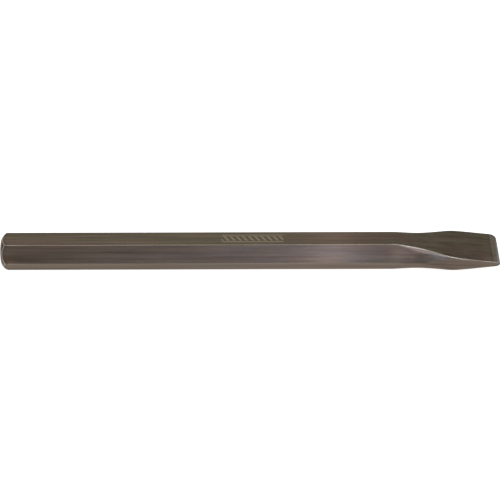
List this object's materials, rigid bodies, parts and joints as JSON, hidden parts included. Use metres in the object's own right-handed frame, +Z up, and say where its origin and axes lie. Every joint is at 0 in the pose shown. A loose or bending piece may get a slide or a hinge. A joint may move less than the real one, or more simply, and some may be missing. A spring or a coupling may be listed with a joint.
{
  "type": "cold chisel",
  "caption": "Flat cold chisel forged from a hexagonal bar, with a rounded struck head and a wedge blade ground to a straight cutting edge.",
  "frame": {"origin": "centre of the tool's box, on the surface that the tool lies on", "axes": "+X along the tool from the struck face to the cutting edge, Y across the blade, +Z up and square to the blade's broad faces"},
  "size_m": [0.3, 0.026, 0.02],
  "materials": {
    "forged_steel": "dark brown-grey burnished tool steel, satin, with bare ground metal at the cutting edge"
  },
  "bodies": {
    "root": {"chisel_body": "forged_steel"}
  },
  "joints": []
}
